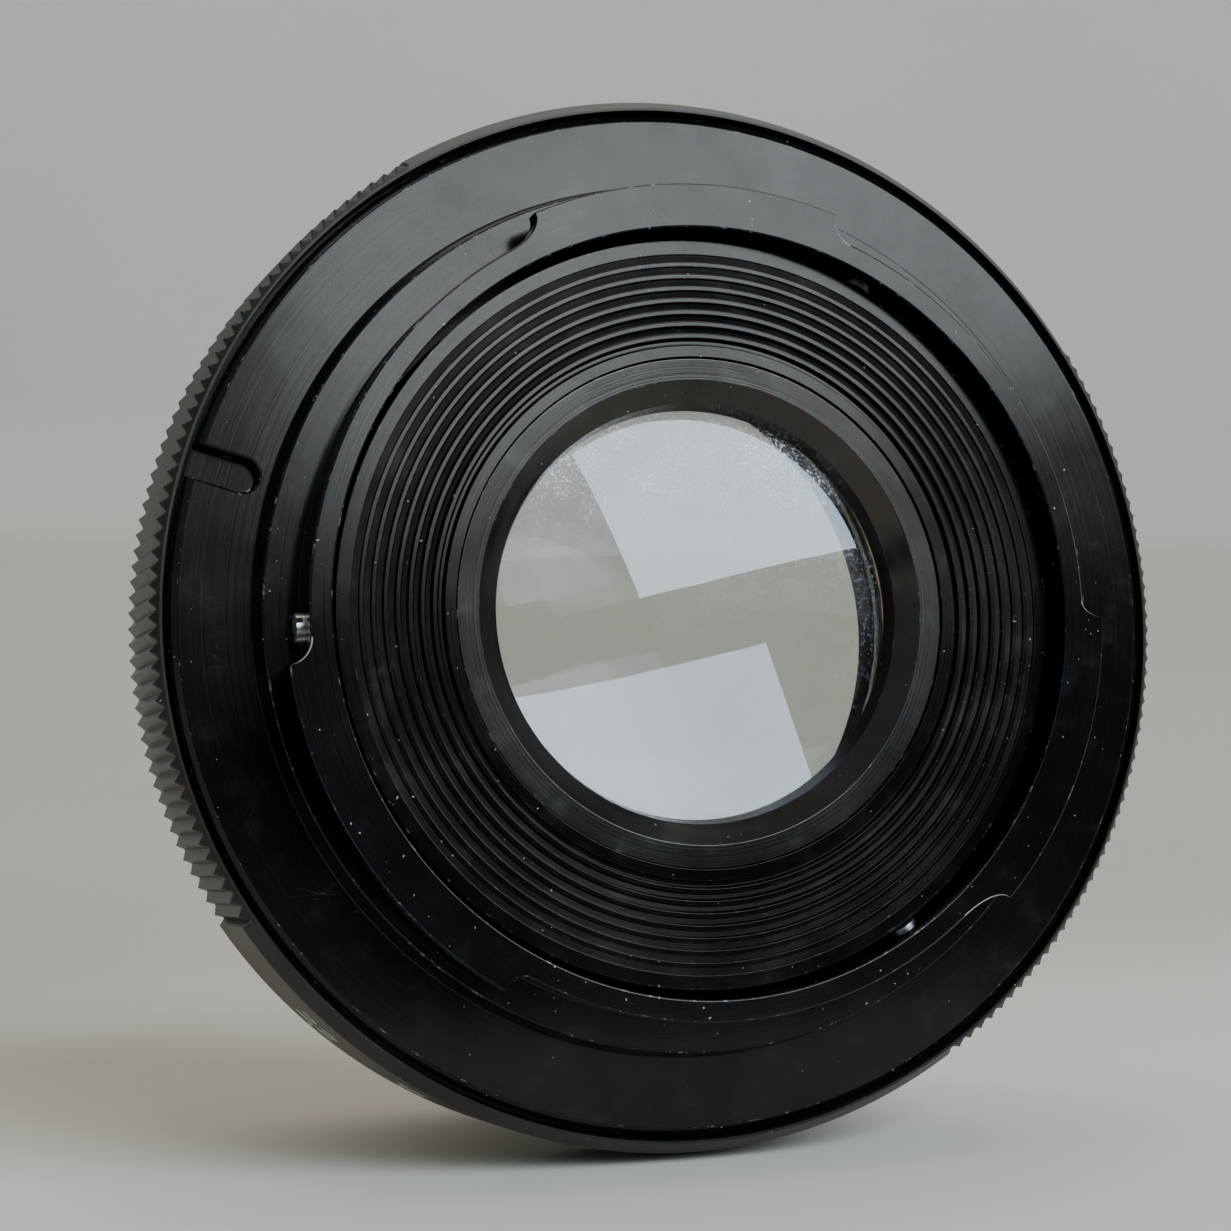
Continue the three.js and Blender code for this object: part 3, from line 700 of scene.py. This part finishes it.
# ---------------------------------------------------------------- rear cell and retaining ring
def make_rear_cell():
    """The rear cell with its ribbed face drawn finely and the rest as the CAD section has it."""
    loop = meridian("rear_cell")
    rear_y = min(y for _, y in loop)
    outer_r = max(r for r, _ in loop)
    inner_y = max(y for r, y in loop if y < -3 and r < GROOVE_FIRST_R)
    crest_half, floor_half, depth = 0.11, 0.09, 0.32
    face = [(outer_r, rear_y, 0.05)]
    for k in reversed(range(GROOVES)):
        crest_r = GROOVE_FIRST_R + k * GROOVE_PITCH
        y = inner_y + (rear_y - inner_y) * k / (GROOVES - 1)
        face.append((crest_r + crest_half, y, 0.035))
        face.append((crest_r - crest_half, y, 0.035))
        if k:
            middle = crest_r - GROOVE_PITCH / 2
            face.append((middle + floor_half, y + depth, 0.03))
            face.append((middle - floor_half, y + depth, 0.03))
    deep_r = max(r for r, y in loop if y < -0.5 and r < GROOVE_FIRST_R)
    face.append((deep_r, inner_y, 0.03))
    ribbed = [corner for corner in loop if corner[1] < -3]
    rest = [corner for corner in loop if corner not in ribbed]
    start = min(range(len(rest)), key=lambda i: abs(rest[i][0] - deep_r) + abs(rest[i][1] - rear_y) * 0.2)
    if rest[(start + 1) % len(rest)][0] > rest[start][0]:
        rest = rest[::-1]
        start = len(rest) - 1 - start
    rest = rest[start:] + rest[:start]
    cell = revolve("ribbed_rear_cell", rounded(face + rest, 0.05))
    dress(cell, cell_black, "barrel", ["rear_cell"])


def make_turned(node, name, material, radius):
    """A finely revolved piece with rounded corners in place of a turned CAD node."""
    dress(revolve(name, rounded(meridian(node), radius)), material, "barrel", [node])


def make_main_barrel():
    """The barrel and its collar, with the window for the ring's pin and the click ball's hole."""
    bore_r, outer_r, rear_y = 17.05, 27.1, 2.05
    iris_r, iris_y = 22.0, 6.75
    nose_r, nose_y = 25.4, 14.0
    corners = [
        (bore_r, rear_y), (outer_r, rear_y), (outer_r, COLLAR_Y[0], 0.001), (COLLAR_R, COLLAR_Y[0], 0.12),
        (COLLAR_R, COLLAR_Y[1] - 0.4, 0.15), (COLLAR_R - 0.4, COLLAR_Y[1], 0.15),
        (nose_r, nose_y, 0.15), (iris_r, nose_y), (iris_r, iris_y), (bore_r, iris_y),
    ]
    barrel = revolve("barrel_turned", rounded(corners))
    pin_angle, pin_y, turn, margin, half = 218.0, 7.4, 60.0, 2.4, 0.45
    low_y, high_y = pin_y - half, pin_y + half
    inside, outside = iris_r - 0.5, outer_r + 0.5
    ends = ((inside, low_y), (outside, low_y), (outside, high_y), (inside, high_y))
    window = bmesh.new()
    steps = 40
    loops = []
    for i in range(steps + 1):
        angle = pin_angle - margin + (turn + 2 * margin) * i / steps
        loops.append([window.verts.new(at(r, y, angle)) for r, y in ends])
    close_loops(window, loops)
    cut(barrel, mesh_object("window_cutter", window))
    ball_angle, ball_y, ball_hole_r, ball_floor_r = 90, 4.6, 0.85, 23.2
    ball_hole = bmesh.new()
    cylinder(ball_hole, ball_hole_r, ball_floor_r, outer_r + 1, radial_place(ball_angle, ball_y))
    cut(barrel, mesh_object("ball_cutter", ball_hole))
    shade(barrel)
    dress(barrel, barrel_black, "barrel", ["main_barrel"])


def make_filter_ring():
    """The front rim, with the grooves of its filter thread."""
    loop = meridian("filter_ring")
    bore_r = min(r for r, _ in loop)
    outer_r = max(r for r, _ in loop)
    rear_y = min(y for _, y in loop)
    front_y = max(y for _, y in loop)
    corners = [
        (bore_r, rear_y), (outer_r, rear_y, 0.1), (outer_r, front_y - 0.4, 0.15),
        (outer_r - 0.4, front_y, 0.15), (bore_r + 0.35, front_y, 0.1), (bore_r, front_y - 0.35, 0.1),
    ]
    pitch, root_r = 0.5, bore_r + 0.26
    y = front_y - 0.6
    while y > rear_y + 1.7:
        corners += [(bore_r, y, 0.03), (root_r, y - 0.16, 0.03)]
        corners += [(root_r, y - 0.22, 0.03), (bore_r, y - 0.38, 0.03)]
        y -= pitch
    ring = revolve("filter_ring_turned", rounded(corners), smooth_angle=30)
    dress(ring, barrel_black, "barrel", ["filter_ring"])


# ---------------------------------------------------------------- glass
def spherical(vertex_y, bend_r, edge_r, steps=28):
    """The section of a spherical face from the axis out. A positive radius takes its edge to +Y."""
    points = []
    for i in range(steps + 1):
        r = edge_r * i / steps
        sag = abs(bend_r) - math.sqrt(bend_r**2 - r**2)
        points.append((r, vertex_y + math.copysign(sag, bend_r), 0.0))
    return points


def make_element(name, rear, front, edge_r, material, replaces):
    """A lens element. Its rear and front are each a vertex's Y and a radius of curvature."""
    section = spherical(*rear, edge_r) + spherical(*front, edge_r)[::-1]
    piece = revolve(name, section, smooth_angle=30)
    dress(piece, material, "barrel", replaces)


# ---------------------------------------------------------------- aperture ring
def knurl_angles():
    """Clock angles of the ring's columns with each column's depth, from 0 at a crest to 1 at a root."""
    pitch = KNURL_SPAN / KNURL_TEETH
    half_tooth = [(0.0, 1.0), (0.05, 0.94), (0.25, 0.53), (0.45, 0.07), (0.5, 0.0)]
    tooth = half_tooth + [(0.55, 0.07), (0.75, 0.53), (0.95, 0.94)]
    gap, count = 0.35, 72
    plain = 180 - KNURL_SPAN
    columns = []
    for centre in KNURL_CENTRES:
        start = centre - KNURL_SPAN / 2
        for k in range(KNURL_TEETH):
            columns += [(start + (k + u) * pitch, depth) for u, depth in tooth]
        end = start + KNURL_SPAN
        columns.append((end, 1.0))
        columns += [(end + gap + (plain - 2 * gap) * i / count, -1) for i in range(count + 1)]
    return [(angle % 360, depth) for angle, depth in columns]


def ring_radius(y, depth):
    """The aperture ring's radius at a station, for a tooth depth from 0 to 1, or -1 on the plain parts."""
    rear_y, front_y = RING_Y
    outer_r = RING_PLAIN_R if depth < 0 else RING_KNURL_R
    taper = RING_TAPER * (front_y - 0.5 - y) / (front_y - rear_y - 1)
    side = outer_r - taper - KNURL_DEPTH * max(depth, 0)
    rear_bevel = RING_REAR_R + (y - rear_y) * (0.62 if depth < 0 else 0.95)
    front_bevel = outer_r - 0.45 + (front_y - y)
    return min(side, rear_bevel, front_bevel)


def make_aperture_ring():
    """The grip ring, with knurled and plain parts outside and the click track inside."""
    rear_y, front_y = RING_Y
    pocket_r, pocket_y = 29.28, 2.3
    bore_r = 27.2
    track_r, track_y = 27.5, (3.6, 5.6)
    columns = sorted(knurl_angles())
    depth_at = dict(columns)
    stations = [rear_y + 0.04 + 1.16 * k / 14 for k in range(15)]
    stations += [rear_y + 2.6, rear_y + 4.4, front_y - 2.6]
    stations += [front_y - 0.75 + 0.71 * k / 8 for k in range(9)]
    corners = [(pocket_r, rear_y), (RING_REAR_R, rear_y)]
    corners += [(RING_KNURL_R, y) for y in stations]
    corners += [
        (RING_KNURL_R - KNURL_DEPTH - 0.5, front_y), (bore_r, front_y),
        (bore_r, track_y[1]), (track_r, track_y[1]), (track_r, track_y[0]), (bore_r, track_y[0]),
        (bore_r, pocket_y), (pocket_r, pocket_y),
    ]
    shaped = range(2, 2 + len(stations))

    def radius_at(index, r, y, angle):
        return (ring_radius(y, depth_at[angle]) if index in shaped else r), y

    section = [(r, y, 0.0) for r, y in corners]
    ring = revolve("aperture_grip_ring", section, [a for a, _ in columns], radius_at, smooth_angle=20)
    dress(ring, ring_black, "aperture_control", ["aperture_ring"])


# Strokes of each figure in a box 0.6 wide and 1 high, as runs of points.
FIGURES = {
    "1": [[(0.12, 0.78), (0.36, 1.0), (0.36, 0.0)]],
    "2": [
        [(0.04, 0.78), (0.14, 0.95), (0.3, 1.0), (0.48, 0.94), (0.55, 0.75), (0.45, 0.5), (0.04, 0.0),
         (0.58, 0.0)],
    ],
    "4": [[(0.44, 0.0), (0.44, 1.0), (0.02, 0.3), (0.6, 0.3)]],
    "5": [
        [(0.54, 1.0), (0.1, 1.0), (0.06, 0.55), (0.3, 0.63), (0.5, 0.52), (0.56, 0.3), (0.46, 0.07),
         (0.26, 0.0), (0.04, 0.1)],
    ],
    "6": [
        [(0.5, 0.95), (0.3, 1.0), (0.12, 0.84), (0.04, 0.5), (0.06, 0.2), (0.18, 0.03), (0.32, 0.0),
         (0.5, 0.1), (0.57, 0.32), (0.48, 0.54), (0.3, 0.6), (0.12, 0.52), (0.05, 0.34)],
    ],
    "8": [
        [(0.3, 0.54), (0.12, 0.66), (0.1, 0.85), (0.3, 1.0), (0.5, 0.85), (0.48, 0.66), (0.3, 0.54),
         (0.08, 0.38), (0.06, 0.14), (0.3, 0.0), (0.54, 0.14), (0.52, 0.38), (0.3, 0.54)],
    ],
    ".": [[(0.1, 0.0), (0.1, 0.06)]],
}
FIGURE_WIDTH = {"1": 0.55, ".": 0.28}
FIGURE_STEP = 0.78  # width of every other figure, with its gap
STOPS = ("4", "5.6", "8", "11", "16", "22")
STOP_STEP = 12  # degrees between two stops


def add_stroke(bm, points, half, surface, base=-0.02, top=0.012):
    """A closed flat band along a run of points, laid on a surface that takes (across, up, lift) to space."""
    for (x0, y0), (x1, y1) in zip(points, points[1:]):
        length = math.hypot(x1 - x0, y1 - y0)
        dx, dy = (x1 - x0) / length * half, (y1 - y0) / length * half
        outline = [(x0 - dx - dy, y0 - dy + dx), (x0 - dx + dy, y0 - dy - dx)]
        outline += [(x1 + dx + dy, y1 + dy - dx), (x1 + dx - dy, y1 + dy + dx)]
        low = [bm.verts.new(surface(x, y, base)) for x, y in outline]
        high = [bm.verts.new(surface(x, y, top)) for x, y in outline]
        bm.faces.new(low)
        bm.faces.new(high[::-1])
        for i in range(4):
            j = (i + 1) % 4
            bm.faces.new((low[i], high[i], high[j], low[j]))


def make_aperture_scale():
    """Generic stops on the plain parts of the ring, in line with a mark on the collar."""
    height = 1.9
    middle_y = (RING_Y[0] + RING_Y[1]) / 2 + 1.2
    bm = bmesh.new()
    for index_angle in INDEX_ANGLES:
        for click, text in enumerate(STOPS):
            centre = index_angle - STOP_STEP * click

            def surface(across, up, lift):
                y = middle_y - up
                r = ring_radius(y, -1) + lift
                return at(r, y, centre + math.degrees(across / r))

            widths = [FIGURE_WIDTH.get(figure, FIGURE_STEP) * height for figure in text]
            left = -(sum(widths) - 0.18 * height) / 2
            for figure, width in zip(text, widths):
                for run in FIGURES[figure]:
                    points = [(left + x * height, (y - 0.5) * height) for x, y in run]
                    add_stroke(bm, points, 0.11, surface)
                left += width
            add_stroke(bm, [(0, -1.35 - height / 2), (0, -0.35 - height / 2)], 0.08, surface)
    dress(mesh_object("aperture_scale", bm), white_paint, "aperture_control")


def make_collar_index():
    """A line on the collar for each row of stops."""
    bm = bmesh.new()
    for angle in INDEX_ANGLES:
        def surface(across, up, lift):
            return at(COLLAR_R + lift, 10.1 - up, angle + math.degrees(across / COLLAR_R))

        add_stroke(bm, [(0, -0.65), (0, 0.8)], 0.14, surface)
    dress(mesh_object("collar_index", bm), red_paint, "barrel")


# ---------------------------------------------------------------- build
make_bayonet()
make_set_screws()
make_index_mark()
make_rear_cell()
make_turned("rear_lens_retainer", "rear_retaining_ring", retainer_black, 0.07)
doublet_nodes = ["rear_crown_element", "rear_flint_element"]
make_element("rear_doublet", (-2.3, 50.0), (4.5, -200.0), 13.6, rear_glass, doublet_nodes)
make_element("middle_lens", (13.8, -40.0), (15.0, 60.0), 15.0, inner_glass, ["middle_element"])
make_element("front_lens", (17.1, 300.0), (22.1, -34.0), 16.0, front_glass, ["front_element"])
make_aperture_ring()
make_aperture_scale()
make_collar_index()
make_turned("front_cell", "front_cell_turned", barrel_black, 0.12)
make_filter_ring()
make_main_barrel()
make_turned("front_trim_ring", "front_trim_turned", trim_black, 0.08)
make_turned("front_lens_retainer", "front_retaining_ring", retainer_black, 0.08)
make_turned("front_spacer_ring", "spacer_ring", cell_black, 0.04)
make_turned("iris_lock_ring", "iris_lock_turned", brass, 0.08)

for node, material in {
    "iris_pivot_plate": cell_black,
    "iris_cam_ring": brass,
    "aperture_coupling_pin": steel,
    "click_ball": steel,
    "click_spring": steel,
    **{f"iris_blade_{k}": blade_black for k in range(1, 7)},
}.items():
    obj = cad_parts[node]
    obj.data.materials.clear()
    obj.data.materials.append(material)

# ---------------------------------------------------------------- stage, light and camera
FLOOR_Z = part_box("aperture_ring")[0].z / MM - 0.02


def sheet(name, profile, low_x, high_x):
    """An open sheet for the stage: a profile of (y, z) drawn out along X, in millimetres."""
    bm = bmesh.new()
    sides = [[bm.verts.new(Vector((x, y, z)) * MM) for y, z in profile] for x in (low_x, high_x)]
    for i in range(len(profile) - 1):
        bm.faces.new((sides[0][i], sides[1][i], sides[1][i + 1], sides[0][i + 1]))
    mesh = bpy.data.meshes.new(name)
    bm.to_mesh(mesh)
    bm.free()
    obj = bpy.data.objects.new(name, mesh)
    bpy.context.scene.collection.objects.link(obj)
    return obj


def make_floor():
    """A pale floor that runs back and turns up into a wall a long way behind the lens, with painted shade
    that darkens its colour from just in front of the lens towards the back.
    """
    profile = [(-1050, FLOOR_Z), (150, FLOOR_Z)]
    profile += [(150 + 470 * t, FLOOR_Z + 108 * t**1.5) for t in (k / 12 for k in range(1, 13))]
    profile += [(640, 92), (648, 130), (650, 400), (650, 2400)]
    floor = sheet("floor", profile, -2400, 2400)
    for polygon in floor.data.polygons:
        polygon.use_smooth = True
    n = Nodes("pale_floor")
    place = n.position()
    soft = n.noise(place, 7.0, 3.0, 0.5)
    fine = n.noise(place, 900.0, 2.0, 0.5)
    near = n.mix(soft, (0.63, 0.58, 0.50, 1), (0.68, 0.63, 0.55, 1))
    painted_shade_far = n.mix(soft, (0.41, 0.38, 0.325, 1), (0.45, 0.415, 0.36, 1))
    split = n.add("ShaderNodeSeparateXYZ")
    n.put(split.inputs[0], place)
    # Painted shade: behind the lens the floor, its rise and the wall blend into the darker colour, standing
    # in for the light falling off towards the back.
    tone = n.mix(n.ramp(split.outputs[1], -0.06, 0.22), near, painted_shade_far)
    shader = n.add("ShaderNodeBsdfPrincipled")
    n.put(shader.inputs["Base Color"], tone)
    shader.inputs["Roughness"].default_value = 0.8
    n.put(shader.inputs["Normal"], n.bump(fine, 0.1, 0.0001))
    floor.data.materials.append(n.finish(shader.outputs[0]))


def make_flag():
    """A black cloth on the bayonet's side that shows only in glossy reflections, so it stays unseen."""
    profile = [(-70, FLOOR_Z + 0.6), (-320, FLOOR_Z + 0.6), (-330, FLOOR_Z + 12), (-330, 34)]
    flag = sheet("flag", profile, -170, 420)
    n = Nodes("black_cloth")
    weave = n.noise(n.position(), 700.0, 2.0, 0.6)
    shader = n.add("ShaderNodeBsdfPrincipled")
    n.put(shader.inputs["Base Color"], n.mix(weave, (0.004, 0.004, 0.004, 1), (0.012, 0.012, 0.012, 1)))
    shader.inputs["Roughness"].default_value = 0.95
    shader.inputs["Specular IOR Level"].default_value = 0.1
    flag.data.materials.append(n.finish(shader.outputs[0]))
    flag.visible_camera = False
    flag.visible_diffuse = False
    flag.visible_transmission = False
    flag.visible_shadow = False


def make_light(name, centre, size, energy, color, roll):
    """A rectangular light at a place in millimetres that faces the lens, turned by a roll in degrees."""
    data = bpy.data.lights.new(name, "AREA")
    data.shape = "RECTANGLE"
    data.size, data.size_y = size[0] * MM, size[1] * MM
    data.energy = energy
    data.color = color
    light = bpy.data.objects.new(name, data)
    light.location = Vector(centre) * MM
    facing = (-light.location).to_track_quat("-Z", "Y").to_matrix()
    light.rotation_euler = (facing @ Matrix.Rotation(math.radians(roll), 3, "Z")).to_euler()
    bpy.context.scene.collection.objects.link(light)


def make_world():
    """An even, faintly warm surround."""
    world = bpy.data.worlds.new("studio")
    world.use_nodes = True
    tree = world.node_tree
    background = tree.nodes["Background"]
    background.inputs["Color"].default_value = (0.80, 0.78, 0.73, 1)
    background.inputs["Strength"].default_value = 0.40
    bpy.context.scene.world = world


def make_camera():
    """The photo's view of the bayonet, from a little to the left and low down."""
    data = bpy.data.cameras.new("camera")
    data.sensor_width = 36
    data.lens = 61.4
    data.clip_start = 0.005
    data.clip_end = 10
    camera = bpy.data.objects.new("camera", data)
    camera.location = Vector((-39.0, -112.1, -9.5)) * MM
    look = Vector((0.2944, 0.9523, 0.0807)).normalized()
    up = Vector((0.0, -0.084, 0.996))
    right = look.cross(up).normalized()
    up = right.cross(look)
    turn = Matrix((right, up, -look)).transposed().to_4x4()
    camera.matrix_world = Matrix.Translation(camera.location) @ turn
    bpy.context.scene.collection.objects.link(camera)
    bpy.context.scene.camera = camera


make_floor()
make_flag()
make_light(
    "window", centre=(545, -1095, 640), size=(1074, 840), energy=33.0, color=(0.68, 0.84, 1.0), roll=11.0
)
make_light(
    "overhead", centre=(0, 260, 900), size=(1200, 900), energy=4.1, color=(1.0, 0.96, 0.89), roll=0.0
)
make_world()
make_camera()
